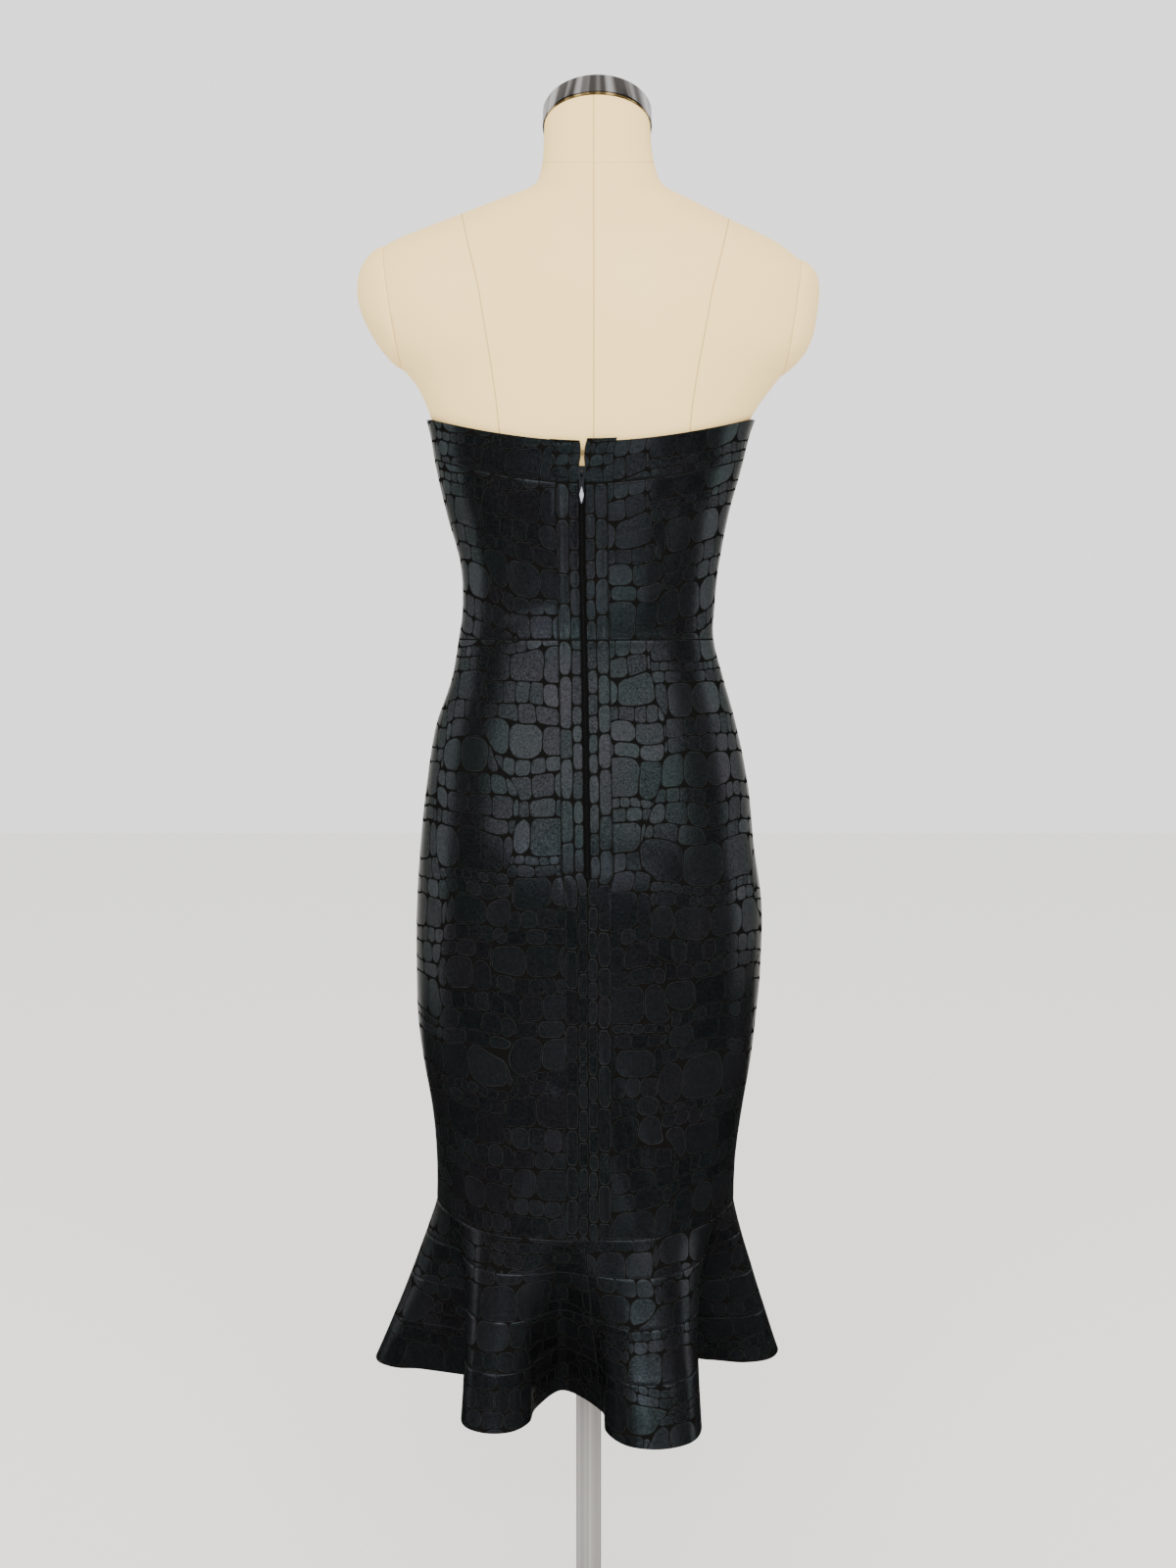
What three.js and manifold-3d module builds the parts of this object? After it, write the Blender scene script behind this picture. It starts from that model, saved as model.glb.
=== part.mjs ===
// A strapless bodycon midi dress with a fluted flounce, worn by a limbless dress form on a pole stand.
// Millimetres, +Z up, origin on the floor under the pole. The back of the dress, with its zip,
// faces +Y, and the wearer's left side lies towards +X as seen from behind.
import * as THREE from 'three';
import { mergeVertices } from 'three/addons/utils/BufferGeometryUtils.js';
import Module from 'manifold-3d';

const wasm = await Module();
wasm.setup();

// Cloth and seams
const WALL = 2.0; // stretch cloth with its bonded foil and seam turnings
const SEAM = 0.3; // gap between sewn pieces
const EASE = 0.5; // between the form and the inside of the cloth
const UNDER = 2.2; // how much slimmer the form is where the cloth covers it
const FLARE = 2.0; // how far the top edge stands off the form

// Heights of the dress
const HEM_Z = 303;
const FLOUNCE_Z = 476;
const WAIST_Z = 1028;
const TOP_BACK_Z = 1207;
const TOP_SIDE_Z = 1235;
const TOP_FRONT_Z = 1248;
const BAND_DEEP = 37;

// Zip
const ZIP_TOP_Z = 1173;
const ZIP_END_Z = 810;
const SLIDER_Z = 1179;
const ZIP_GAP = 2.6; // half the opening that shows the coil
const COIL_HALF = 2.0;
const COIL_THICK = 1.2;
const TAPE_THICK = 1.2;
const TAPE_SUNK = 0.6; // outer face of the tapes below that of the cloth
const BLOCK_WIDE = 26; // turned blocks that finish the band at each side of the zip
const BLOCK_THICK = 1.2;
const HOOK = { z: 1197, wide: 2.3, thick: 1.2, tall: 5 }; // hook and eye that close the notch
const BLOCK_RISE = { left: 0.5, right: 2.5 }; // how far each stands above the band's edge

// Stand
const POLE_R = 12.5;
const FLANGE = { r: 38, thick: 6 };
const SOCKET = { floor: 6, clear: 0.4 }; // the pole's hole in the base
const FORM_BOTTOM_Z = 665;
const BASE_R = 145;
const CAP_TILT = 25; // degrees that the neck cap leans forward
const CAP_R = 51.5;
const CAP_BAND = 20;
const CAP_AT = new THREE.Vector3(-8, -3, 1506);
const ARMHOLE = { left: 184, right: -192, z: 1340, low: 1258, leanIn: 8 }; // its plane, leaning in degrees

// Level sections of the form, from the pole's axis: half width, depth in front and behind,
// sideways shift, and how square the oval is (2 is an ellipse). Below the form they go on as the skirt.
const SECTIONS = [
  { z: 476, half: 139.5, front: 121, back: 124, shift: 3.5, square: 2.05 },
  { z: 520, half: 143.0, front: 120, back: 122, shift: 2.5, square: 2.05 },
  { z: 570, half: 149.5, front: 118, back: 119, shift: 1.5, square: 2.1 },
  { z: 620, half: 158.0, front: 115, back: 116, shift: 1.5, square: 2.15 },
  { z: 665, half: 163.0, front: 112, back: 115, shift: 1.5, square: 2.2 },
  { z: 715, half: 165.3, front: 110, back: 117, shift: 0.0, square: 2.25 },
  { z: 772, half: 165.0, front: 107, back: 120, shift: -0.5, square: 2.3 },
  { z: 830, half: 159.0, front: 104, back: 118, shift: 1.5, square: 2.25 },
  { z: 888, half: 153.0, front: 102, back: 106, shift: 1.5, square: 2.2 },
  { z: 945, half: 142.5, front: 98, back: 92, shift: 2.5, square: 2.15 },
  { z: 988, half: 129.0, front: 93, back: 81, shift: 1.0, square: 2.1 },
  { z: 1028, half: 120.0, front: 89, back: 75, shift: 2.5, square: 2.1 },
  { z: 1060, half: 118.5, front: 88, back: 75, shift: 0.0, square: 2.1 },
  { z: 1100, half: 121.5, front: 93, back: 79, shift: -1.0, square: 2.15 },
  { z: 1150, half: 133.0, front: 103, back: 87, shift: 1.0, square: 2.2 },
  { z: 1190, half: 143.0, front: 108, back: 93, shift: 0.0, square: 2.25 },
  { z: 1235, half: 151.5, front: 104, back: 98, shift: -2.0, square: 2.25 },
  { z: 1270, half: 171.0, front: 95, back: 101, shift: -6.0, square: 2.2 },
  { z: 1303, half: 200.0, front: 86, back: 102, shift: -5.0, square: 2.2 },
  { z: 1340, half: 214.0, front: 78, back: 98, shift: 0.0, square: 2.2 },
  { z: 1370, half: 213.5, front: 71, back: 90, shift: 1.0, square: 2.2 },
  { z: 1388, half: 198.0, front: 66, back: 82, shift: 5.0, square: 2.2 },
  { z: 1401, half: 178.0, front: 62, back: 76, shift: 4.0, square: 2.2 },
  { z: 1419, half: 135.5, front: 58, back: 67, shift: 0.0, square: 2.15 },
  { z: 1436, half: 96.0, front: 54, back: 59, shift: -5.0, square: 2.1 },
  { z: 1450, half: 64.0, front: 51, back: 52, shift: -9.0, square: 2.05 },
  { z: 1468, half: 54.0, front: 49, back: 46, shift: -9.0, square: 2.0 },
  { z: 1500, half: 50.0, front: 47, back: 41, shift: -8.0, square: 2.0 },
  { z: 1545, half: 49.5, front: 46, back: 39, shift: -8.0, square: 2.0 },
];
const FORM_LEVELS = [
  665, 700, 745, 800, 845, 890, 935, 980, 1028, 1070, 1110, 1150, 1185, 1220, 1250, 1275,
  1300, 1325, 1350, 1370, 1385, 1398, 1410, 1423, 1436, 1448, 1462, 1480, 1505, 1545,
];

// Bust of a general figure, as two soft rounds on the front
const BUST = { z: 1186, deep: 24, apart: 34, wide: 19, tall: 48, bridged: 0.3 };

// The line of the back seam and zip, in mm to the left of the pole
const SEAM_LINE = [
  { z: 476, x: 0 },
  { z: 810, x: 1 },
  { z: 1000, x: 4 },
  { z: 1100, x: 6 },
  { z: 1180, x: 6.5 },
  { z: 1230, x: 4 },
];
// Half the opening between the two back pieces above the zip's end
const OPENING = [
  { z: 476, gap: SEAM / 2 },
  { z: ZIP_END_Z - 4, gap: SEAM / 2 },
  { z: ZIP_END_Z + 2, gap: ZIP_GAP },
  { z: 1185, gap: ZIP_GAP },
  { z: 1194, gap: 1.5 },
  { z: 1200, gap: 1.5 },
  { z: 1212, gap: 3.8 },
];

// Flutes of the flounce, round the hem from the back seam past the left side. Each row has the tip of
// a lobe, the way it points (degrees from +Y towards +X), half its width, and the valley after it,
// whose place on the flounce seam is given as an angle too.
const FLUTES = [
  { x: 95, y: 151, points: 14, half: 33, valleyX: 94, valleyY: 38, valleyAt: 62 },
  { x: 215, y: -34, points: 103, half: 33, valleyX: 88, valleyY: -62, valleyAt: 124 },
  { x: 114, y: -172, points: 155, half: 31, valleyX: 14, valleyY: -64, valleyAt: 180 },
  { x: -66, y: -184, points: 198, half: 34, valleyX: -90, valleyY: -70, valleyAt: 236 },
  { x: -194, y: -39, points: 277, half: 36, valleyX: -82, valleyY: -14, valleyAt: 298 },
  { x: -67, y: 183, points: 351, half: 45, valleyX: 25, valleyY: 58, valleyAt: 369 },
];
const BAND_SEAMS = [476, 442, 399, 354, 303]; // the flounce's four strips, top to hem
const FLARE_BEND = 1.12; // a straight cone is 1, more hangs down before it flares
const SWELL = { deep: 5, wide: 13, from: 600 }; // flutes that begin in the skirt above the seam

const radians = THREE.MathUtils.degToRad;
const lerp = THREE.MathUtils.lerp;

// Value of a column of a table at a height, on a smooth curve through its rows.
function column(table, key, z) {
  let i = table.findIndex((row) => row.z > z) - 1;
  if (i < 0) i = z < table[0].z ? 0 : table.length - 2;
  const rows = [table[Math.max(i - 1, 0)], table[i], table[i + 1], table[Math.min(i + 2, table.length - 1)]];
  const span = rows[2].z - rows[1].z;
  const t = THREE.MathUtils.clamp((z - rows[1].z) / span, 0, 1);
  const slope = (a, b) => (b.z === a.z ? 0 : (b[key] - a[key]) / (b.z - a.z));
  const startSlope = slope(rows[0], rows[2]) * span;
  const endSlope = slope(rows[1], rows[3]) * span;
  const t2 = t * t;
  const t3 = t2 * t;
  return (2 * t3 - 3 * t2 + 1) * rows[1][key] + (t3 - 2 * t2 + t) * startSlope
    + (3 * t2 - 2 * t3) * rows[2][key] + (t3 - t2) * endSlope;
}

// Value of a column of a table at a height, on straight lines between its rows.
function straight(table, key, z) {
  let i = table.findIndex((row) => row.z > z);
  if (i < 0) return table[table.length - 1][key];
  if (i === 0) return table[0][key];
  const t = (z - table[i - 1].z) / (table[i].z - table[i - 1].z);
  return lerp(table[i - 1][key], table[i][key], t);
}

// How far the bust stands out. Cloth bridges the hollow in the middle, the bare form doesn't.
function bust(angle, z, bridged) {
  const off = Math.abs(angle - 180);
  const round = Math.exp(-(((off - BUST.apart) / BUST.wide) ** 2));
  const dip = BUST.bridged * (Math.cos((Math.PI * off) / BUST.apart) + 1) / 2;
  const across = bridged && off < BUST.apart ? 1 - dip : round;
  return BUST.deep * across * Math.exp(-(((z - BUST.z) / BUST.tall) ** 2));
}

// How far the skirt swells just above the flounce, over each flute.
function swell(angle, z) {
  if (z > SWELL.from) return 0;
  const near = ((SWELL.from - z) / (SWELL.from - FLOUNCE_Z)) ** 2;
  let sum = 0;
  for (let i = 0; i < FLUTES.length; i += 1) {
    const before = FLUTES[(i + FLUTES.length - 1) % FLUTES.length].valleyAt - (i === 0 ? 360 : 0);
    const middle = (before + FLUTES[i].valleyAt) / 2;
    const off = ((angle - middle + 540) % 360) - 180;
    sum += Math.exp(-((off / SWELL.wide) ** 2));
  }
  return SWELL.deep * near * sum;
}

// A point of the level section at a height, moved out by an amount.
function sectionPoint(angle, z, out, cloth) {
  const turn = radians(angle);
  const sine = Math.sin(turn);
  const cosine = Math.cos(turn);
  const square = column(SECTIONS, 'square', z);
  const fit = (Math.abs(sine) ** square + Math.abs(cosine) ** square) ** (-1 / square);
  const grow = out + bust(angle, z, cloth) + (cloth ? swell(angle, z) : 0);
  const deep = column(SECTIONS, cosine > 0 ? 'back' : 'front', z) + grow;
  const half = column(SECTIONS, 'half', z) + grow;
  return new THREE.Vector3(column(SECTIONS, 'shift', z) + half * fit * sine, deep * fit * cosine, z);
}

// The worn cloth above the flounce: out = 0 is its outer face.
function dressPoint(angle, z, out) {
  const flare = FLARE * THREE.MathUtils.smoothstep(z, 1190, TOP_SIDE_Z);
  return sectionPoint(angle, z, EASE + WALL + flare + out, true);
}

// Points that the hem curve passes through, each with its angle on the flounce seam.
function hemControls() {
  const controls = [];
  FLUTES.forEach((flute, i) => {
    const before = i === 0 ? FLUTES[FLUTES.length - 1].valleyAt - 360 : FLUTES[i - 1].valleyAt;
    const ahead = new THREE.Vector2(Math.sin(radians(flute.points)), Math.cos(radians(flute.points)));
    const across = new THREE.Vector2(ahead.y, -ahead.x);
    const lobe = [
      { back: 1.9, side: -0.94 },
      { back: 0.95, side: -1 },
      { back: 0.25, side: -0.68 },
      { back: 0, side: 0 },
      { back: 0.25, side: 0.68 },
      { back: 0.95, side: 1 },
      { back: 1.9, side: 0.94 },
    ];
    lobe.forEach((place, k) => {
      controls.push({
        at: lerp(before, flute.valleyAt, (k + 1) / (lobe.length + 1)),
        x: flute.x - ahead.x * place.back * flute.half + across.x * place.side * flute.half,
        y: flute.y - ahead.y * place.back * flute.half + across.y * place.side * flute.half,
      });
    });
    controls.push({ at: flute.valleyAt, x: flute.valleyX, y: flute.valleyY });
  });
  return controls;
}
const HEM = hemControls();

// The hem curve at an angle of the flounce seam.
function hemPoint(angle) {
  const count = HEM.length;
  const turnOf = (i) => Math.floor(i / count) * 360;
  const control = (i) => {
    const row = HEM[((i % count) + count) % count];
    return { z: row.at + turnOf(i), x: row.x, y: row.y };
  };
  let i = -2;
  while (control(i + 1).z <= angle) i += 1;
  const rows = [control(i - 1), control(i), control(i + 1), control(i + 2)];
  return new THREE.Vector2(column(rows, 'x', angle), column(rows, 'y', angle));
}

// The flounce, a cone-like loft from the skirt's lower edge to the hem curve.
function flouncePoint(angle, z) {
  const down = ((FLOUNCE_Z - z) / (FLOUNCE_Z - HEM_Z)) ** FLARE_BEND;
  const seam = dressPoint(angle, FLOUNCE_Z, 0);
  const hem = hemPoint(angle);
  return new THREE.Vector3(lerp(seam.x, hem.x, down), lerp(seam.y, hem.y, down), z);
}

// The same point moved out level with the cloth's face, for a wall's inner side or a piece on top.
function movedOut(point, angle, z, out) {
  const step = 0.4;
  const before = point(angle - step, z, 0);
  const after = point(angle + step, z, 0);
  const along = after.sub(before).setZ(0).normalize();
  return point(angle, z, 0).add(new THREE.Vector3(-along.y, along.x, 0).multiplyScalar(out));
}

// A closed wall from a grid of outer points and a grid of inner ones, columns first.
function wallGeometry(outer, inner) {
  const columns = outer.length;
  const rows = outer[0].length;
  const positions = [...outer.flat(), ...inner.flat()].flatMap((p) => [p.x, p.y, p.z]);
  const index = [];
  const o = (i, j) => i * rows + j;
  const n = (i, j) => columns * rows + i * rows + j;
  const quad = (a, b, c, d) => index.push(a, b, c, a, c, d);
  for (let i = 0; i < columns - 1; i += 1) {
    for (let j = 0; j < rows - 1; j += 1) {
      quad(o(i, j), o(i, j + 1), o(i + 1, j + 1), o(i + 1, j));
      quad(n(i, j), n(i + 1, j), n(i + 1, j + 1), n(i, j + 1));
    }
    quad(o(i, 0), o(i + 1, 0), n(i + 1, 0), n(i, 0));
    quad(o(i + 1, rows - 1), o(i, rows - 1), n(i, rows - 1), n(i + 1, rows - 1));
  }
  for (let j = 0; j < rows - 1; j += 1) {
    quad(o(0, j + 1), o(0, j), n(0, j), n(0, j + 1));
    quad(o(columns - 1, j), o(columns - 1, j + 1), n(columns - 1, j + 1), n(columns - 1, j));
  }
  return indexed(positions, index);
}

const evenLevels = (rows) => Array.from({ length: rows + 1 }, (_, i) => i / rows);

function indexed(positions, index) {
  const geometry = new THREE.BufferGeometry();
  geometry.setAttribute('position', new THREE.Float32BufferAttribute(positions, 3));
  geometry.setIndex(index);
  return geometry;
}

// A piece of cloth between two upright edges and two level ones. from and to give the edges' angles
// at a height, bottom and top the heights at an angle, and levels the rows as shares of the height.
// columns is a number of even ones, or their places as shares of the way round.
function clothPiece({ point, from, to, columns, bottom, top, levels, out = 0, wall = WALL }) {
  const outer = [];
  const inner = [];
  const shares = Array.isArray(columns) ? columns : evenLevels(columns);
  shares.forEach((share) => {
    const place = levels.map((level) => {
      let angle = lerp(from(bottom(0)), to(bottom(0)), share);
      let z = 0;
      for (let pass = 0; pass < 4; pass += 1) {
        z = lerp(bottom(angle), top(angle), level);
        angle = lerp(from(z), to(z), share);
      }
      return { angle, z };
    });
    outer.push(place.map(({ angle, z }) => movedOut(point, angle, z, out)));
    inner.push(place.map(({ angle, z }) => movedOut(point, angle, z, out - wall)));
  });
  return wallGeometry(outer, inner);
}

// Angles of the seams, and heights of the top edge
const halfAt = (z) => column(SECTIONS, 'half', z) + EASE + WALL;
const shiftAt = (z) => column(SECTIONS, 'shift', z);
const backSeam = (z, offset) => {
  const x = straight(SEAM_LINE, 'x', z) + offset - shiftAt(z);
  return THREE.MathUtils.radToDeg(x / halfAt(z));
};
const openLeft = (z) => backSeam(z, straight(OPENING, 'gap', z));
const openRight = (z) => 360 + backSeam(z, -straight(OPENING, 'gap', z));
const sideGap = THREE.MathUtils.radToDeg(SEAM / 2 / 130);
const leftSide = (sign) => () => 90 + sign * sideGap;
const rightSide = (sign) => () => 270 + sign * sideGap;
const topEdge = (angle) => {
  const across = Math.sin(radians(angle)) ** 2;
  const middle = Math.cos(radians(angle)) > 0 ? TOP_BACK_Z : TOP_FRONT_Z;
  return lerp(middle, TOP_SIDE_Z, across);
};
const bandSeam = (offset) => (angle) => topEdge(angle) - BAND_DEEP + offset;
const level = (z) => () => z;

const cloth = (hex = 0x14171a) => new THREE.MeshStandardMaterial({ color: hex, roughness: 0.45, metalness: 0.15 });
const linen = () => new THREE.MeshStandardMaterial({ color: 0xe3cfa8, roughness: 0.9, metalness: 0 });
const steel = () => new THREE.MeshStandardMaterial({ color: 0x9a9a9a, roughness: 0.3, metalness: 1 });

const dress = new THREE.Group();
const stand = new THREE.Group();

function add(group, name, geometry, material) {
  const mesh = new THREE.Mesh(geometry, material);
  mesh.name = name;
  group.add(mesh);
  return mesh;
}

// The three pieces of a tier of the body: front, back left and back right of the zip
function addTier(name, bottom, top, levels) {
  const sides = [
    { part: 'front', from: leftSide(1), to: rightSide(-1), columns: 24 },
    { part: 'back_left', from: openLeft, to: leftSide(-1), columns: 12 },
    { part: 'back_right', from: rightSide(1), to: openRight, columns: 12 },
  ];
  sides.forEach(({ part, from, to, columns }) => {
    add(dress, `${name}_${part}`,
      clothPiece({ point: dressPoint, from, to, columns, bottom, top, levels }), cloth());
  });
}

function addBody() {
  addTier('top_band', bandSeam(SEAM / 2), topEdge, [0, 0.35, 0.6, 0.8, 1]);
  addTier('bodice', level(WAIST_Z + SEAM / 2), bandSeam(-SEAM / 2), evenLevels(7));
  const low = FLOUNCE_Z + SEAM / 2;
  const high = WAIST_Z - SEAM / 2;
  const skirtLevels = [
    low, 505, 535, 570, 605, 640, 680, 720, 765, ZIP_END_Z - 4, ZIP_END_Z + 2, 850, 890, 930, 965, 1000, high,
  ].map((z) => (z - low) / (high - low));
  addTier('skirt', level(low), level(high), skirtLevels);
}

function addFlounce() {
  const gap = 0.06; // degrees each side of the back seam
  const turns = HEM.flatMap((row, i) => {
    const next = HEM[(i + 1) % HEM.length].at + (i + 1 === HEM.length ? 360 : 0);
    return [row.at, (row.at + next) / 2].map((at) => ((at + 360) % 360) / 360);
  });
  const columns = [0, ...turns.sort((a, b) => a - b), 1];
  for (let i = 0; i + 1 < BAND_SEAMS.length; i += 1) {
    const last = i + 2 === BAND_SEAMS.length;
    const top = BAND_SEAMS[i] - SEAM / 2;
    const bottom = BAND_SEAMS[i + 1] + (last ? 0 : SEAM / 2);
    add(dress, `flounce_band_${i + 1}`, clothPiece({
      point: flouncePoint, from: level(gap), to: level(360 - gap), columns,
      bottom: level(bottom), top: level(top), levels: [0, 1],
    }), cloth());
  }
}

// Zip: two tapes in the opening, the coil on them, and turned blocks that finish the band
function addZip() {
  const zipMaterial = () => new THREE.MeshStandardMaterial({ color: 0x0c0d0f, roughness: 0.6, metalness: 0.1 });
  const strip = (name, low, high, out, wall, material) => add(dress, name, clothPiece({
    point: dressPoint, from: (z) => backSeam(z, low), to: (z) => backSeam(z, high), columns: 1,
    bottom: level(ZIP_END_Z + 3), top: level(ZIP_TOP_Z), levels: evenLevels(12), out, wall,
  }), material);
  const tapeEdge = ZIP_GAP - SEAM;
  strip('zip_tape_left', SEAM / 2, tapeEdge, -TAPE_SUNK, TAPE_THICK, zipMaterial());
  strip('zip_tape_right', -tapeEdge, -SEAM / 2, -TAPE_SUNK, TAPE_THICK, zipMaterial());
  strip('zip_coil', -COIL_HALF, COIL_HALF, SEAM + COIL_THICK - TAPE_SUNK, COIL_THICK, zipMaterial());

  const block = (name, from, to, rise) => add(dress, name, clothPiece({
    point: dressPoint, from, to, columns: 3,
    bottom: (angle) => bandSeam(SEAM / 2)(angle), top: (angle) => topEdge(angle) + rise,
    levels: [0, 0.35, 0.6, 0.8, 1], out: SEAM + BLOCK_THICK, wall: BLOCK_THICK,
  }), cloth());
  const wide = THREE.MathUtils.radToDeg(BLOCK_WIDE / halfAt(SLIDER_Z));
  block('band_block_left', openLeft, (z) => openLeft(z) + wide, BLOCK_RISE.left);
  block('band_block_right', (z) => openRight(z) - wide, openRight, BLOCK_RISE.right);

  const hookAt = movedOut(dressPoint, backSeam(HOOK.z, 0), HOOK.z, -WALL / 2);
  const hook = add(dress, 'hook_and_eye', new THREE.BoxGeometry(HOOK.wide, HOOK.thick, HOOK.tall), steel());
  hook.position.copy(hookAt);
}

// Booleans: a closed mesh as a solid, and back
function solid(geometry) {
  const bare = geometry.clone();
  bare.deleteAttribute('normal');
  bare.deleteAttribute('uv');
  const merged = mergeVertices(bare, 1e-4);
  return new wasm.Manifold(new wasm.Mesh({
    numProp: 3,
    vertProperties: new Float32Array(merged.attributes.position.array),
    triVerts: new Uint32Array(merged.index.array),
  }));
}

function geometryOf(manifold) {
  const mesh = manifold.getMesh();
  return indexed(Array.from(mesh.vertProperties), Array.from(mesh.triVerts));
}

// A big block on one side of a plane, to cut with
function halfSpace(point, normal) {
  const size = 600;
  const box = new THREE.BoxGeometry(size, size, size).translate(0, 0, size / 2);
  const turn = new THREE.Quaternion().setFromUnitVectors(new THREE.Vector3(0, 0, 1), normal);
  box.applyQuaternion(turn).translate(point.x, point.y, point.z);
  return solid(box);
}

// Slider on the closed zip, with an arched lug, and the pull tab that hangs from it
const PLATE = { thick: 1.4, foot: 6.3, head: 6.5, mouth: 2.4, throat: 2.8, side: 3.6, wide: 4.2 };
const WEDGE = { wide: 4.2, long: 8.4, down: 0.3, low: -0.3 };
const LUG = { half: 3.4, high: 2.5, thick: 1.6, axisUp: 1.6, windowHalf: 2.3, windowHigh: 1.3 };
const TAB = { long: 27, wide: 5.0, thick: 1.0, bar: 0.6, eye: 6, eyeHalf: 1.4 };
const BITE = 0.4; // how far joined bodies reach into each other

function addSlider() {
  const seat = movedOut(dressPoint, backSeam(SLIDER_Z, 0), SLIDER_Z, 0);
  const below = movedOut(dressPoint, backSeam(SLIDER_Z - 10, 0), SLIDER_Z - 10, 0);
  const lean = Math.atan2(seat.y - below.y, seat.z - below.z);
  const plateLow = SEAM + BLOCK_THICK + SEAM; // the front plate clears the turned blocks
  const plateTop = plateLow + PLATE.thick;
  const axisOut = plateTop + LUG.axisUp;

  const half = [
    [PLATE.mouth, -PLATE.foot], [PLATE.throat + 0.4, 1.2 - PLATE.foot], [PLATE.wide, PLATE.head - 4.6],
    [PLATE.side, PLATE.head - 1], [PLATE.mouth - 0.3, PLATE.head],
  ];
  const mirrored = half.map(([x, y]) => [-x, y]).reverse();
  const outline = new THREE.Shape([...half, ...mirrored].map(([x, y]) => new THREE.Vector2(x, y)));
  const plate = new THREE.ExtrudeGeometry(outline, { depth: plateTop - plateLow, bevelEnabled: false });
  plate.rotateX(Math.PI / 2).translate(0, plateTop, 0);
  const wedgeHigh = plateLow + BITE;
  const wedge = new THREE.BoxGeometry(WEDGE.wide, wedgeHigh - WEDGE.low, WEDGE.long);
  wedge.translate(0, (wedgeHigh + WEDGE.low) / 2, -WEDGE.down);

  // The arch stands on the plate and spans it lengthwise: drawn with x along the zip and y outwards
  const arch = new THREE.Shape();
  const foot = LUG.axisUp + BITE;
  arch.moveTo(-LUG.half, -foot);
  arch.lineTo(-LUG.half, 0);
  arch.absellipse(0, 0, LUG.half, LUG.high, Math.PI, 0, true);
  arch.lineTo(LUG.half, -foot);
  arch.lineTo(LUG.windowHalf, -foot);
  arch.lineTo(LUG.windowHalf, 0);
  arch.absellipse(0, 0, LUG.windowHalf, LUG.windowHigh, 0, Math.PI, false);
  arch.lineTo(-LUG.windowHalf, -foot);
  const lug = new THREE.ExtrudeGeometry(arch, { depth: LUG.thick, bevelEnabled: false, curveSegments: 5 });
  lug.translate(0, 0, -LUG.thick / 2).rotateY(-Math.PI / 2).translate(0, axisOut, 0);
  const body = geometryOf(solid(plate).add(solid(wedge)).add(solid(lug)));
  const slider = add(dress, 'zip_slider', body, steel());
  slider.position.copy(seat);
  slider.rotation.x = -lean;

  const hinge = new THREE.Vector3(0, axisOut, 0).applyEuler(slider.rotation).add(seat);
  const tabShape = new THREE.Shape();
  const halfWide = TAB.wide / 2;
  tabShape.moveTo(-halfWide, TAB.bar);
  const endR = halfWide - 0.4;
  tabShape.lineTo(-endR, -TAB.long + endR);
  tabShape.absarc(0, -TAB.long + endR, endR, Math.PI, 2 * Math.PI, false);
  tabShape.lineTo(halfWide, TAB.bar);
  const eye = new THREE.Path();
  eye.moveTo(-TAB.eyeHalf, -TAB.bar);
  eye.lineTo(TAB.eyeHalf, -TAB.bar);
  eye.lineTo(TAB.eyeHalf, TAB.eyeHalf - TAB.eye);
  eye.absarc(0, TAB.eyeHalf - TAB.eye, TAB.eyeHalf, 0, -Math.PI, true);
  tabShape.holes.push(eye);
  const tab = new THREE.ExtrudeGeometry(tabShape, { depth: TAB.thick, bevelEnabled: false, curveSegments: 6 });
  tab.translate(0, 0, -TAB.thick / 2).rotateX(Math.PI / 2);
  add(dress, 'zip_pull_tab', tab, steel()).position.copy(hinge);
}

// The form: a closed loft of level rings, cut at the armholes and at the neck
function formLoft() {
  const count = 36;
  const positions = [];
  FORM_LEVELS.forEach((z) => {
    for (let i = 0; i < count; i += 1) {
      const slim = UNDER * (1 - THREE.MathUtils.smoothstep(z, 1190, 1250));
      const p = sectionPoint((360 * i) / count, z, -slim, false);
      positions.push(p.x, p.y, p.z);
    }
  });
  const index = [];
  const at = (j, i) => j * count + (i % count);
  for (let j = 0; j + 1 < FORM_LEVELS.length; j += 1) {
    for (let i = 0; i < count; i += 1) {
      index.push(at(j, i), at(j + 1, i), at(j + 1, i + 1), at(j, i), at(j + 1, i + 1), at(j, i + 1));
    }
  }
  const caps = [{ j: 0, turned: false }, { j: FORM_LEVELS.length - 1, turned: true }];
  caps.forEach(({ j, turned }) => {
    const middle = positions.length / 3;
    positions.push(column(SECTIONS, 'shift', FORM_LEVELS[j]), 0, FORM_LEVELS[j]);
    for (let i = 0; i < count; i += 1) {
      const [a, b] = turned ? [at(j, i + 1), at(j, i)] : [at(j, i), at(j, i + 1)];
      index.push(middle, a, b);
    }
  });
  return indexed(positions, index);
}

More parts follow.
